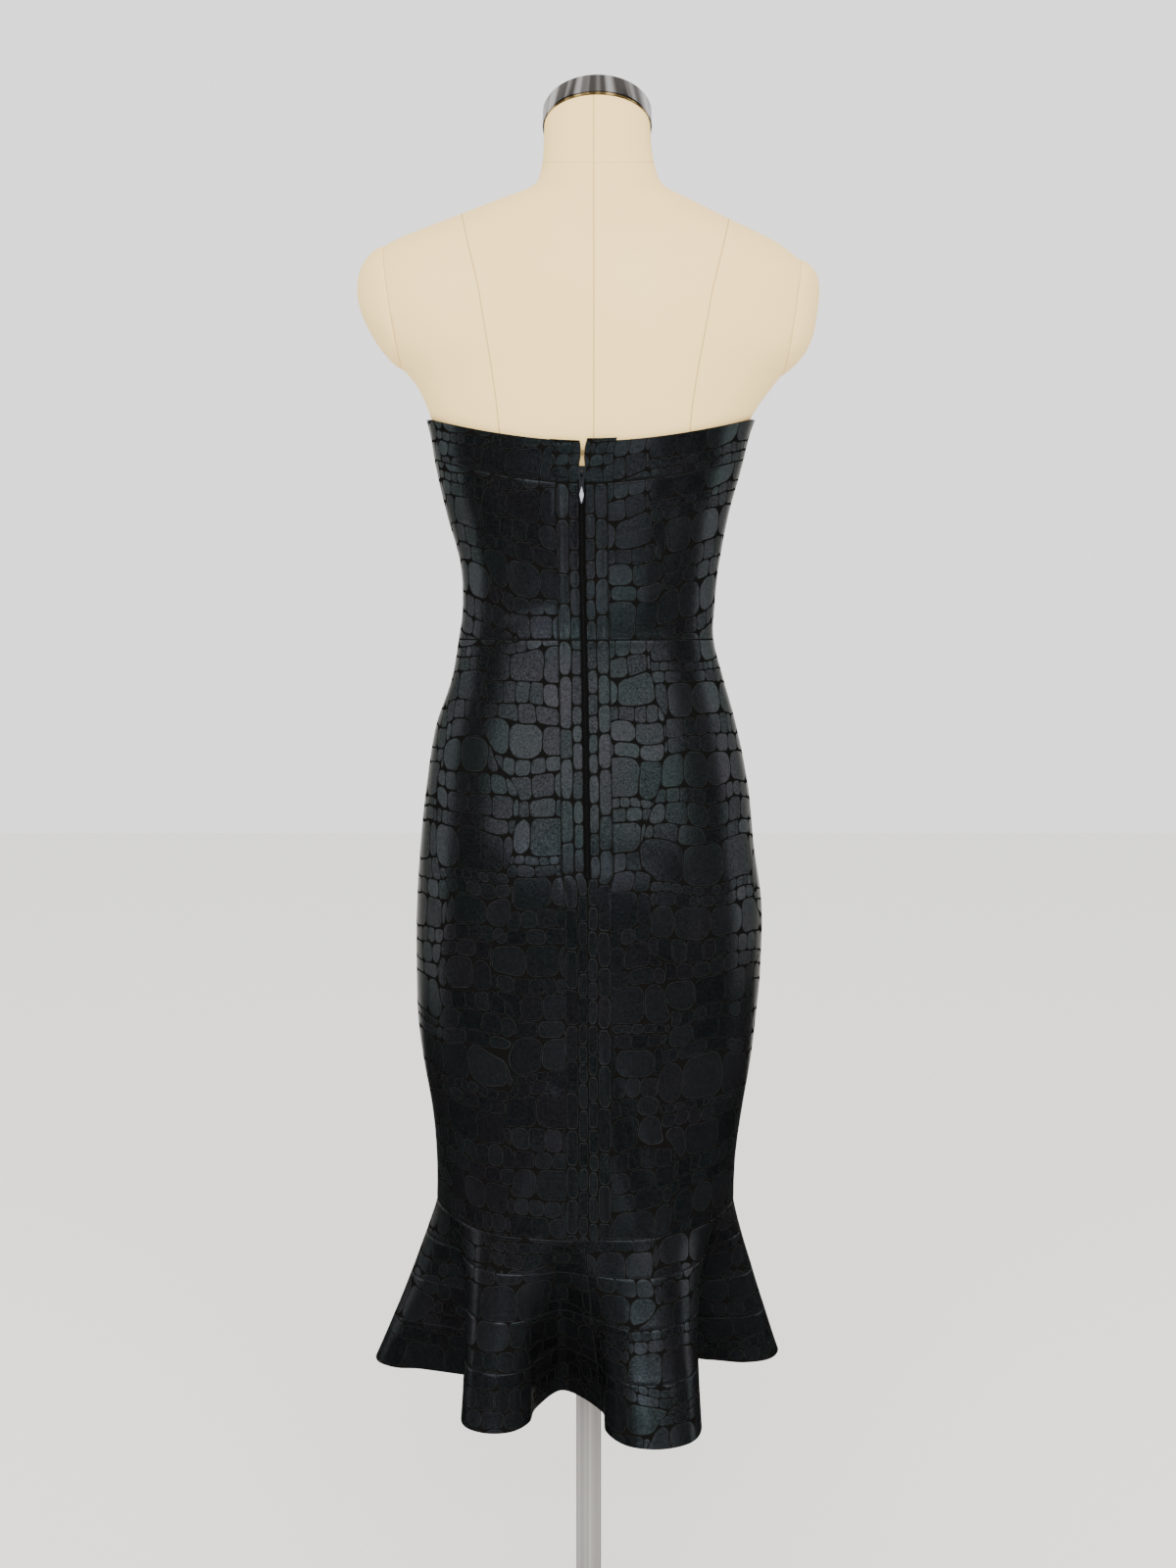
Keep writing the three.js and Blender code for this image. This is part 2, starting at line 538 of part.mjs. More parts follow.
function addForm() {
  const armholes = [
    { name: 'form_arm_cap_left', side: 1, at: new THREE.Vector3(ARMHOLE.left, 0, ARMHOLE.z) },
    { name: 'form_arm_cap_right', side: -1, at: new THREE.Vector3(ARMHOLE.right, 0, ARMHOLE.z) },
  ];
  const leanIn = radians(ARMHOLE.leanIn);
  const tilt = radians(CAP_TILT);
  const neckUp = new THREE.Vector3(0, -Math.sin(tilt), Math.cos(tilt));
  const whole = solid(formLoft());
  const shoulders = halfSpace(new THREE.Vector3(0, 0, ARMHOLE.low), new THREE.Vector3(0, 0, 1));
  let torso = whole.subtract(halfSpace(CAP_AT, neckUp));
  armholes.forEach(({ name, side, at }) => {
    const normal = new THREE.Vector3(side * Math.cos(leanIn), 0, -Math.sin(leanIn));
    const beyond = at.clone().addScaledVector(normal, SEAM);
    add(stand, name, geometryOf(whole.intersect(halfSpace(beyond, normal).intersect(shoulders))), linen());
    torso = torso.subtract(halfSpace(at, normal).intersect(shoulders));
  });
  add(stand, 'form_torso', geometryOf(torso), linen());

  const knobR = 11;
  const capProfile = [
    [0, 0], [CAP_R - 0.8, 0], [CAP_R, 1], [CAP_R, CAP_BAND - 2], [CAP_R - 1.5, CAP_BAND], [38, CAP_BAND + 4.5],
    [20, CAP_BAND + 8], [8, CAP_BAND + 9], [6, CAP_BAND + 12], [6, CAP_BAND + 20], [9, CAP_BAND + 24],
    [knobR, CAP_BAND + 30], [knobR - 1, CAP_BAND + 35], [6, CAP_BAND + 38.5], [0, CAP_BAND + 40],
  ].map(([x, y]) => new THREE.Vector2(x, y));
  const cap = new THREE.LatheGeometry(capProfile, 32).rotateX(Math.PI / 2);
  const capMesh = add(stand, 'neck_cap', cap, steel());
  capMesh.position.copy(CAP_AT).addScaledVector(neckUp, SEAM);
  capMesh.rotation.x = tilt;
}

// The stand below the form: a flange under it, the pole, and a plain round base with its collar
function addStand() {
  const lathe = (points, sides) => new THREE.LatheGeometry(
    points.map(([x, y]) => new THREE.Vector2(x, y)), sides).rotateX(Math.PI / 2);
  const flangeTop = FORM_BOTTOM_Z - SEAM;
  const flangeLow = flangeTop - FLANGE.thick;
  add(stand, 'pole_flange', lathe([
    [0, flangeLow], [FLANGE.r, flangeLow], [FLANGE.r, flangeTop], [0, flangeTop],
  ], 32), steel());
  const boreR = POLE_R + SOCKET.clear;
  add(stand, 'pole', lathe([
    [0, SOCKET.floor + SEAM], [POLE_R, SOCKET.floor + SEAM], [POLE_R, flangeLow - SEAM], [0, flangeLow - SEAM],
  ], 24), steel());
  add(stand, 'base', lathe([
    [0, 0], [BASE_R - 2, 0], [BASE_R, 2], [BASE_R, 7], [BASE_R - 3, 10], [26, 13], [22, 17], [21, 55], [20, 56],
    [boreR, 56], [boreR, SOCKET.floor], [0, SOCKET.floor],
  ], 48), steel());
}

addBody();
addFlounce();
addZip();
addSlider();
addForm();
addStand();

const whole = new THREE.Group();
whole.add(dress, stand);
export default whole;
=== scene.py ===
from functools import lru_cache
from math import ceil, cos, degrees, exp, pi, radians, sin

import bmesh
import bpy
from mathutils import Matrix, Vector, noise


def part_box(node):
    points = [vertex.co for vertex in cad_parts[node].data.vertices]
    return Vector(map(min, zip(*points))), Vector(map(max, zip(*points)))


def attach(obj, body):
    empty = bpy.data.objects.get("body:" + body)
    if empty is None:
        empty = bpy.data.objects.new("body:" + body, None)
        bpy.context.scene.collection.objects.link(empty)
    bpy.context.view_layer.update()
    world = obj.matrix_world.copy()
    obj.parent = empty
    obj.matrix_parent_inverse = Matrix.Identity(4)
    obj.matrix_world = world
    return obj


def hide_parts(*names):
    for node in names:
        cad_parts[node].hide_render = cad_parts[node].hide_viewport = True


# A strapless bodycon midi dress in black crocodile-print stretch cloth, worn by a linen dress form
# on a pole stand. Lengths in the tables are millimetres, the scene is in metres, and the back of
# the dress faces +Y. Angles go round the body from +Y (the back) towards +X.
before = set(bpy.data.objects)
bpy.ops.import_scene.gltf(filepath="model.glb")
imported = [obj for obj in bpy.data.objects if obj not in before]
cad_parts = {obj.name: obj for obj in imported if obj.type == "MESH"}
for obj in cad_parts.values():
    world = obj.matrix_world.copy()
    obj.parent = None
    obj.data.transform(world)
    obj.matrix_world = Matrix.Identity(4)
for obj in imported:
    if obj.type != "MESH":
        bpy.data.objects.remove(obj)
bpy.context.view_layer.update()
mm = 0.001

# form and cloth surfaces
# height, half width, depth in front, depth behind, sideways shift, squareness of the oval
sections = [
    (476, 139.5, 121, 124, 3.5, 2.05), (520, 143, 120, 122, 2.5, 2.05), (570, 149.5, 118, 119, 1.5, 2.1),
    (620, 158, 115, 116, 1.5, 2.15), (665, 163, 112, 115, 1.5, 2.2), (715, 165.3, 110, 117, 0, 2.25),
    (772, 165, 107, 120, -0.5, 2.3), (830, 159, 104, 118, 1.5, 2.25), (888, 153, 102, 106, 1.5, 2.2),
    (945, 142.5, 98, 92, 2.5, 2.15), (988, 129, 93, 81, 1, 2.1), (1028, 120, 89, 75, 2.5, 2.1),
    (1060, 118.5, 88, 75, 0, 2.1), (1100, 121.5, 93, 79, -1, 2.15), (1150, 133, 103, 87, 1, 2.2),
    (1190, 143, 108, 93, 0, 2.25), (1235, 151.5, 104, 98, -2, 2.25), (1270, 171, 95, 101, -6, 2.2),
    (1303, 200, 86, 102, -5, 2.2), (1340, 214, 78, 98, 0, 2.2), (1370, 213.5, 71, 90, 1, 2.2),
    (1388, 198, 66, 82, 5, 2.2), (1401, 178, 62, 76, 4, 2.2), (1419, 135.5, 58, 67, 0, 2.15),
    (1436, 96, 54, 59, -5, 2.1), (1450, 64, 51, 52, -9, 2.05), (1468, 54, 49, 46, -9, 2),
    (1500, 50, 47, 41, -8, 2), (1545, 49.5, 46, 39, -8, 2),
]
# each flute of the flounce: tip x and y, where it points, half width, then the valley after it
# (x, y, and its angle on the flounce seam)
flutes = [
    (95, 151, 14, 33, 94, 38, 62), (215, -34, 103, 33, 88, -62, 124), (114, -172, 155, 31, 14, -64, 180),
    (-66, -184, 198, 34, -90, -70, 236), (-194, -39, 277, 36, -82, -14, 298), (-67, 183, 351, 45, 25, 58, 369),
]
lobe = [(1.9, -0.94), (0.95, -1), (0.25, -0.68), (0, 0), (0.25, 0.68), (0.95, 1), (1.9, 0.94)]
seamLine = [(476, 0), (810, 1), (1000, 4), (1100, 6), (1180, 6.5), (1230, 4)]
opening = [(476, 0), (808, 0), (812, 2.6), (1185, 2.6), (1194, 1.5), (1200, 1.5), (1212, 3.8)]
size = {
    "wall": 2.0, "seam": 0.3, "ease": 0.5, "under": 2.2, "flare": 2.0,
    "hem": 303, "flounce": 476, "waist": 1028, "topBack": 1207, "topSide": 1235, "topFront": 1248,
    "band": 37, "zipEnd": 810, "zipTop": 1173, "slider": 1179, "flareBend": 1.12,
    "bustZ": 1186, "bustDeep": 24, "bustApart": 34, "bustWide": 19, "bustTall": 48, "bustBridged": 0.3,
    "swellDeep": 5, "swellWide": 13, "swellFrom": 600,
}
bandSeams = [476, 442, 399, 354, 303]


def lerp(a, b, t):
    return a + (b - a) * t


def clamp(x, low=0.0, high=1.0):
    return max(low, min(high, x))


def smooth(x, low, high):
    t = clamp((x - low) / (high - low))
    return t * t * (3 - 2 * t)


def curved(rows, col, z):  # a column of a table at a height, on a smooth curve
    i = 0
    while i < len(rows) - 2 and rows[i + 1][0] <= z:
        i += 1
    r0, r1, r2, r3 = rows[max(i - 1, 0)], rows[i], rows[i + 1], rows[min(i + 2, len(rows) - 1)]
    span = r2[0] - r1[0]
    t = clamp((z - r1[0]) / span)
    slope = lambda a, b: 0 if a[0] == b[0] else (b[col] - a[col]) / (b[0] - a[0]) * span
    t2, t3 = t * t, t * t * t
    return ((2 * t3 - 3 * t2 + 1) * r1[col] + (t3 - 2 * t2 + t) * slope(r0, r2)
            + (3 * t2 - 2 * t3) * r2[col] + (t3 - t2) * slope(r1, r3))


def straight(rows, z):
    if z <= rows[0][0]:
        return rows[0][1]
    for a, b in zip(rows, rows[1:]):
        if z < b[0]:
            return lerp(a[1], b[1], (z - a[0]) / (b[0] - a[0]))
    return rows[-1][1]


@lru_cache(maxsize=None)
def sectionAt(z):
    return tuple(curved(sections, col, z) for col in range(1, 6))


def bust(angle, z, bridged):
    off = abs(angle - 180)
    if bridged and off < size["bustApart"]:
        across = 1 - size["bustBridged"] * (cos(pi * off / size["bustApart"]) + 1) / 2
    else:
        across = exp(-((off - size["bustApart"]) / size["bustWide"]) ** 2)
    return size["bustDeep"] * across * exp(-((z - size["bustZ"]) / size["bustTall"]) ** 2)


def swell(angle, z):  # flutes that begin in the skirt above the flounce
    if z > size["swellFrom"]:
        return 0
    near = ((size["swellFrom"] - z) / (size["swellFrom"] - size["flounce"])) ** 2
    total = 0
    for i, flute in enumerate(flutes):
        last = flutes[i - 1][6] - (360 if i == 0 else 0)
        off = (angle - (last + flute[6]) / 2 + 540) % 360 - 180
        total += exp(-(off / size["swellWide"]) ** 2)
    return size["swellDeep"] * near * total


def sectionPoint(angle, z, out, cloth):
    half, front, back, shift, square = sectionAt(round(z, 2))
    s, c = sin(radians(angle)), cos(radians(angle))
    fit = (abs(s) ** square + abs(c) ** square) ** (-1 / square)
    grow = out + bust(angle % 360, z, cloth) + (swell(angle, z) if cloth else 0)
    return Vector((shift + (half + grow) * fit * s, ((back if c > 0 else front) + grow) * fit * c, z))


def dressPoint(angle, z, out=0.0):
    flare = size["flare"] * smooth(z, 1190, size["topSide"])
    return sectionPoint(angle, z, size["ease"] + size["wall"] + flare + out, True)


def hemControls():
    rows = []
    for i, (x, y, points, half, valleyX, valleyY, valleyAt) in enumerate(flutes):
        last = flutes[i - 1][6] - (360 if i == 0 else 0)
        ahead = Vector((sin(radians(points)), cos(radians(points))))
        across = Vector((ahead.y, -ahead.x))
        for k, (back, side) in enumerate(lobe):
            place = Vector((x, y)) - ahead * back * half + across * side * half
            rows.append((lerp(last, valleyAt, (k + 1) / (len(lobe) + 1)), place.x, place.y))
        rows.append((valleyAt, valleyX, valleyY))
    return rows


hemRows = hemControls()
hemRound = [(at + turn, x, y) for turn in (-360, 0, 360) for at, x, y in hemRows]


@lru_cache(maxsize=None)
def hemPoint(angle):
    i = 0
    while hemRound[i + 1][0] <= angle:
        i += 1
    rows = hemRound[i - 1:i + 3]
    return curved(rows, 1, angle), curved(rows, 2, angle)


def flouncePoint(angle, z, out=0.0):
    down = clamp((size["flounce"] - z) / (size["flounce"] - size["hem"])) ** size["flareBend"]
    seam = dressPoint(angle, size["flounce"])
    x, y = hemPoint(round(angle, 4))
    return Vector((lerp(seam.x, x, down), lerp(seam.y, y, down), z))


def facing(point, angle, z):  # level direction out of the cloth
    along = point(angle + 0.4, z) - point(angle - 0.4, z)
    return Vector((-along.y, along.x, 0)).normalized()


def movedOut(point, angle, z, out):
    return point(angle, z) + facing(point, angle, z) * out


def backSeam(z, offset=0.0):
    half, front, back, shift, square = sectionAt(round(z, 2))
    return degrees((straight(seamLine, z) + offset - shift) / (half + size["ease"] + size["wall"]))


def openLeft(z):
    return backSeam(z, straight(opening, z))


def openRight(z):
    return 360 + backSeam(z, -straight(opening, z))


def topEdge(angle):
    middle = size["topBack"] if cos(radians(angle)) > 0 else size["topFront"]
    return lerp(middle, size["topSide"], sin(radians(angle)) ** 2)


def bandSeam(angle):
    return topEdge(angle) - size["band"]


def level(z):  # one height at every angle
    return lambda angle: z


print("surfaces ready")


# shader helpers
class Sock:  # an output socket that takes arithmetic
    def __init__(self, nodes, out):
        self.nodes, self.out = nodes, out

    def math(self, op, *others, clampIt=False):
        settings = {"operation": op, "use_clamp": clampIt}
        return self.nodes.make("Math", settings, dict(enumerate((self, *others))))

    def __add__(self, other): return self.math("ADD", other)
    def __radd__(self, other): return self.math("ADD", other)
    def __sub__(self, other): return self.math("SUBTRACT", other)
    def __rsub__(self, other): return self.nodes.value("SUBTRACT", other, self)
    def __mul__(self, other): return self.math("MULTIPLY", other)
    def __rmul__(self, other): return self.math("MULTIPLY", other)
    def __truediv__(self, other): return self.math("DIVIDE", other)
    def __rtruediv__(self, other): return self.nodes.value("DIVIDE", other, self)
    def __abs__(self): return self.math("ABSOLUTE")
    def __lt__(self, other): return self.math("LESS_THAN", other)
    def __gt__(self, other): return self.math("GREATER_THAN", other)

    def fract(self): return self.math("FRACT")
    def floor(self): return self.math("FLOOR")
    def sqrt(self): return self.math("SQRT")
    def sin(self): return self.math("SINE")
    def min(self, other): return self.math("MINIMUM", other)
    def max(self, other): return self.math("MAXIMUM", other)
    def unit(self): return self.math("ADD", 0.0, clampIt=True)  # clamped from 0 to 1

    def step(self, low, high):  # 0 below low, 1 above high, smooth between
        t = ((self - low) / (high - low)).unit()
        return t * t * (3 - 2 * t)


class Nodes:  # a material's node tree
    def __init__(self, name, colour=(0.5, 0.5, 0.5), **constant):
        self.material = bpy.data.materials.new(name)
        self.material.use_nodes = True
        self.tree = self.material.node_tree
        self.shader = self.tree.nodes["Principled BSDF"]
        self.material.diffuse_color = (*colour, 1)
        self.shader.inputs["Base Color"].default_value = (*colour, 1)
        for key, value in constant.items():
            self.shader.inputs[key.replace("_", " ")].default_value = value

    def make(self, kind, settings={}, sockets={}, out=0):
        node = self.tree.nodes.new("ShaderNode" + kind)
        for key, value in settings.items():
            setattr(node, key, value)
        for key, value in sockets.items():
            if isinstance(value, Sock):
                self.tree.links.new(value.out, node.inputs[key])
            else:
                node.inputs[key].default_value = value
        return Sock(self, node.outputs[out])

    def value(self, op, *parts):
        return self.make("Math", {"operation": op}, dict(enumerate(parts)))

    def uv(self, name):
        return self.make("UVMap", {"uv_map": name})

    def place(self):
        return self.make("TexCoord", out="Object")

    def split(self, vector):
        return [Sock(self, out) for out in self.make("SeparateXYZ", sockets={0: vector}).out.node.outputs]

    def join(self, x=0.0, y=0.0, z=0.0):
        return self.make("CombineXYZ", sockets={0: x, 1: y, 2: z})

    def noise(self, vector, scale, detail=2.0, rough=0.5):
        sockets = {"Vector": vector, "Scale": scale, "Detail": detail, "Roughness": rough}
        return self.make("TexNoise", sockets=sockets)

    def mix(self, a, b, factor):
        return self.make("Mix", {"data_type": "RGBA"}, {0: factor, 6: a, 7: b}, 2)

    def tint(self, a, b, factor=1.0):
        return self.make("Mix", {"data_type": "RGBA", "blend_type": "MULTIPLY"}, {0: factor, 6: a, 7: b}, 2)

    def bump(self, height, distance, strength):
        return self.make("Bump", sockets={"Height": height, "Distance": distance, "Strength": strength})

    def feed(self, **sockets):
        for key, value in sockets.items():
            self.tree.links.new(value.out, self.shader.inputs[key.replace("_", " ")])
        return self.material


# printed cloth
# rows of the print from the waist down: height, and width of its cells
croc = {
    "rows": [
        (15, 26), (38, 43), (9, 10), (12, 15), (30, 36), (19, 15), (16, 19), (30, 30), (16, 14), (21, 23),
    ],
    "gap": 1.3, "corner": 11.0, "warp": 4.4, "wide": 60.0, "block": 105.0,
}
# cloth strips along the zip, and below it
strip = {"wide": 21.0, "below": 17.0, "from": 53.0, "high": 0.55, "belowHigh": 0.35, "end": size["zipEnd"] - 6}


def crocMaterial(name, away=0.0):
    n = Nodes(name, (0.02, 0.022, 0.024), Specular_IOR_Level=0.0, Specular_Tint=(0.5, 0.5, 0.485, 1))
    period = sum(h for h, w in croc["rows"]) * mm
    u, v, _ = n.split(n.uv("cloth"))
    toZip, toSeam, _ = n.split(n.uv("edge"))
    zipSide = toZip < strip["wide"] * mm  # inside the strip beside the zip
    flat = n.join(u, v, away)
    shove = n.noise(flat, 30.0, 1.5)
    shoveUp = n.noise(n.join(v, u, away + 3.7), 26.0, 1.5)
    u = u + (shove - 0.5) * (2 * croc["warp"] * mm)
    wander = n.noise(flat, 11.0, 1.0) - 0.5
    v = v + (shoveUp - 0.5) * (2 * croc["warp"] * mm) + wander * 0.03
    # broad blocks of the print start their rows at other heights
    field = {"voronoi_dimensions": "1D", "feature": "DISTANCE_TO_EDGE"}
    spot = {"voronoi_dimensions": "1D", "feature": "F1"}
    blockAt = {
        "W": (u + wander * 0.11) / (croc["block"] * mm) + away * 3.1 + 0.42, "Scale": 1.0, "Randomness": 0.7,
    }
    toBlock = n.make("TexVoronoi", field, blockAt) * (croc["block"] * mm)
    blockShift = n.split(n.make("TexVoronoi", spot, blockAt, "Color"))[0]
    plain = 1.0 - zipSide
    # the strips are cut with the print on its side
    along = u * plain + (v + 0.37) * 0.44 * zipSide
    down = (away * 0.173 - v + blockShift * (0.9 * period)) * plain
    down = down + (toZip + strip["from"] * mm + (shove - 0.5) * 0.003) * zipSide
    turns = down / period + 8.0
    share = turns.fract()
    ramp = n.make("ValToRGB", sockets={0: share})
    stops = ramp.out.node.color_ramp
    stops.interpolation = "CONSTANT"
    start = 0.0
    for i, (high, wide) in enumerate(croc["rows"]):
        at = start * mm / period
        stop = stops.elements[0] if i == 0 else (stops.elements[1] if i == 1 else stops.elements.new(at))
        stop.position = at
        stop.color = (at, high * mm / period, wide / croc["wide"], 1)
        start += high
    rowStart, rowHigh, cellWide = n.split(ramp)
    cellWide = cellWide * (croc["wide"] * mm)
    into = share - rowStart
    toRow = into.min(rowHigh - into) * period
    w = along / cellWide + turns.floor() * 7.31 + rowStart * 53.7 + blockShift * 19.0 + away * 11.3
    cellAt = {"W": w, "Scale": 1.0, "Randomness": 0.6}
    toSide = n.make("TexVoronoi", field, cellAt) * cellWide
    toSide = toSide.min(toBlock + zipSide)
    luck, luck2, luck3 = n.split(n.make("TexVoronoi", spot, cellAt, "Color"))
    small = (cellWide / 0.03).min(1.0)
    gapHalf = croc["gap"] * mm / 2 * (0.55 + small * 0.45)
    corner = (cellWide.min(rowHigh * period) * 0.34).min(croc["corner"] * mm) * (0.5 + luck * 0.6)
    px = (corner - (toSide - gapHalf)).max(0.0)
    py = (corner - (toRow - gapHalf * (0.8 + luck2 * 1.1))).max(0.0)
    inside = corner - (px * px + py * py).sqrt()
    clearOfSeamShade = toSeam.step(0.0003, 0.0012)  # 0 in the seam, where the foil is left off: painted shade that draws each sewn seam as a thin dark line
    foil = (inside / 0.0006 + 0.5).unit() * clearOfSeamShade

    place = n.place()
    grain = n.noise(place, 1100.0, 1.0)
    drift = n.noise(place, 14.0, 2.0)
    speck = n.noise(place, 620.0, 2.0, 0.8)
    hue = (drift * 1.2 + (luck3 - 0.5) * 0.3 + (speck - 0.5) * 1.3 - 0.12).unit()
    foilColour = n.mix((0.027, 0.037, 0.037, 1), (0.038, 0.035, 0.042, 1), hue)
    shade = (0.85 + (speck - 0.5) * 2.6 + (luck - 0.5) * 0.4).max(0.25)
    foilColour = n.tint(foilColour, n.join(shade, shade, shade))
    colour = n.mix((0.0038, 0.0038, 0.0036, 1), foilColour, foil)
    rough = 0.6 - foil * (0.36 - (grain - 0.5) * 0.12)
    height = foil * 0.10 + (grain - 0.5) * 0.16 + (speck - 0.5) * 0.05
    # a row of stitches along the strip's edge
    stitchAt = abs(toZip - (strip["wide"] - 1.2) * mm)
    stitch = (1 - stitchAt / 0.0006).unit() * ((v * 2200.0).sin() * 2.0).unit()
    height = height + stitch * 0.5
    return n.feed(Base_Color=colour, Roughness=rough, Metallic=foil * 0.88, Normal=n.bump(height, 0.0006, 0.6))


def addPiece(name, bm, material, node, body="dress_form", smoothIt=True):
    mesh = bpy.data.meshes.new(name)
    bm.to_mesh(mesh)
    bm.free()
    if smoothIt:
        mesh.shade_smooth()
    mesh.materials.append(material)
    piece = bpy.data.objects.new(name, mesh)
    bpy.context.collection.objects.link(piece)
    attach(piece, body)
    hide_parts(node)
    return piece


def softenEdges(piece, name, width, segments, angle):
    bevel = piece.modifiers.new(name, "BEVEL")
    bevel.width, bevel.segments = width * mm, segments
    bevel.limit_method, bevel.angle_limit = "ANGLE", radians(angle)
    return bevel


# cloth shells
nearEdge = [0, 0.6, 1.3, 2.4, 4.0, 6.5, 10.0]  # rows this far from a sewn edge, mm


def spread(length, step, more=()):  # shares of a length, closer together near both ends
    if length < 24:
        count = max(4, ceil(length / 1.5))
        return [i / count for i in range(count + 1)]
    places = set(nearEdge) | {length - d for d in nearEdge} | {m for m in more if 10 < m < length - 10}
    inner = max(1, ceil((length - 20) / step))
    for i in range(1, inner):
        at = 10 + (length - 20) * i / inner
        if all(abs(at - m) > step * 0.3 for m in more):
            places.add(at)
    return [p / length for p in sorted(places)]


def seamShape(d, deep=0.28, high=0.10):  # turned in at the seam, and raised a little over its turnings
    return -deep * exp(-(d / 0.9) ** 2) + high * exp(-((d - 3.6) / 2.4) ** 2)


def creaseShape(creases, x, z):
    total = 0.0
    for x0, z0, x1, z1, wide, high in creases:
        run = Vector((x1 - x0, z1 - z0))
        off = Vector((x - x0, z - z0))
        t = off.dot(run) / run.length_squared
        if -0.3 < t < 1.3:
            side = abs(off.x * run.y - off.y * run.x) / run.length
            fade = smooth(t, -0.3, 0.25) * (1 - smooth(t, 0.75, 1.3))
            total += high * exp(-(side / wide) ** 2) * fade
    return total


def rings(bm, point, start, end, low, high, across, up):
    bmesh.ops.create_grid(bm, x_segments=len(across) - 1, y_segments=len(up) - 1, size=0.5)
    places = {}
    for vert in bm.verts:
        i = round((vert.co.x + 0.5) * (len(across) - 1))
        j = round((vert.co.y + 0.5) * (len(up) - 1))
        angle = lerp(start(low(0)), end(low(0)), across[i])
        z = 0.0
        for _ in range(4):
            z = lerp(low(angle), high(angle), up[j])
            angle = lerp(start(z), end(z), across[i])
        vert.co = point(angle, z)
        places[i, j] = (vert, angle, z)
    return places


def clothShell(name, node, point, start, end, low, high, across, up, material, shape, printAt, zipEdge=None,
               levelSeams=(True, True)):
    bm = bmesh.new()
    places = rings(bm, point, start, end, low, high, across, up)
    wide, tall = len(across), len(up)
    run = {}
    for j in range(tall):  # lengths along each row, and up each column
        total = 0.0
        for i in range(wide):
            if i:
                total += (places[i, j][0].co - places[i - 1, j][0].co).length
            run[i, j] = [total, 0.0]
    for i in range(wide):
        total = 0.0
        for j in range(tall):
            if j:
                total += (places[i, j][0].co - places[i, j - 1][0].co).length
            run[i, j][1] = total
    bm.normal_update()
    middle = places[wide // 2, tall // 2]
    if middle[0].normal.dot(facing(point, middle[1], middle[2])) < 0:
        bmesh.ops.reverse_faces(bm, faces=bm.faces[:])
        bm.normal_update()
    cloth, edge = bm.loops.layers.uv.new("cloth"), bm.loops.layers.uv.new("edge")
    moves = []
    for (i, j), (vert, angle, z) in places.items():
        left, right = run[i, j][0], run[wide - 1, j][0] - run[i, j][0]
        down = run[i, j][1] if levelSeams[0] else 99.0
        above = run[i, tall - 1][1] - run[i, j][1] if levelSeams[1] else 99.0
        moves.append((vert, vert.normal.copy() * shape(angle, z, left, right, down, above, vert.co)))
        uvCloth = printAt(run, i, j, run[wide - 1, j][0])
        toZip = {"left": left, "right": right, None: 200.0}[zipEdge]
        unsewn = zipEdge if z > size["zipEnd"] else None
        toSeam = min(down, above, 99 if unsewn == "left" else left, 99 if unsewn == "right" else right)
        for loop in vert.link_loops:
            loop[cloth].uv = (uvCloth[0] * mm, uvCloth[1] * mm)
            loop[edge].uv = (toZip * mm, toSeam * mm)
    for vert, move in moves:
        vert.co = (vert.co + move) * mm
    bm.normal_update()
    piece = addPiece(name, bm, material, node)
    shell = piece.modifiers.new("thickness", "SOLIDIFY")
    shell.thickness, shell.offset, shell.use_even_offset = size["wall"] * mm, -1.0, True
    softenEdges(piece, "soft rim", 0.4, 2, 55)
    return piece


crocLeft = crocMaterial("printed cloth left", 0.6)
crocRight = crocMaterial("printed cloth right", 0.0)
crocFront = crocMaterial("printed cloth front", 1.7)
crocBand = crocMaterial("printed cloth band", 2.3)
crocFlounce = [crocMaterial(f"printed cloth flounce {k + 1}", 3.1 + k * 0.83) for k in range(4)]

# ridges and troughs of the skirt: from x, z to x, z, half width, height
creases = {
    "skirt": [
        (-12, 645, -21, 562, 7, 3.6), (-21, 562, -43, 500, 8, 4.0), (-25, 625, -60, 500, 8, -4.6),
        (34, 615, 27, 572, 6, 2.2), (46, 600, 74, 496, 10, 2.8), (22, 560, 24, 490, 9, -3.0),
        (105, 560, 112, 490, 10, 1.2), (-112, 565, -120, 492, 10, 1.1),
        (-60, 905, -95, 880, 12, 0.5), (64, 915, 100, 885, 12, 0.5),
    ],
    "front": [
        (-40, 600, -62, 500, 9, 1.4), (30, 590, 60, 498, 9, 1.3), (0, 610, -6, 500, 10, -1.2),
        (-110, 570, -118, 490, 10, 1.1), (108, 565, 116, 492, 10, 1.1),
    ],
    "bodice": [
        (-70, 1046, -108, 1040, 6, 0.5), (66, 1044, 104, 1048, 6, 0.5), (34, 1062, 70, 1054, 5, -0.35),
        (-30, 1060, -64, 1052, 5, -0.35), (80, 1150, 108, 1128, 9, 0.5), (-76, 1152, -110, 1126, 9, 0.5),
    ],
}


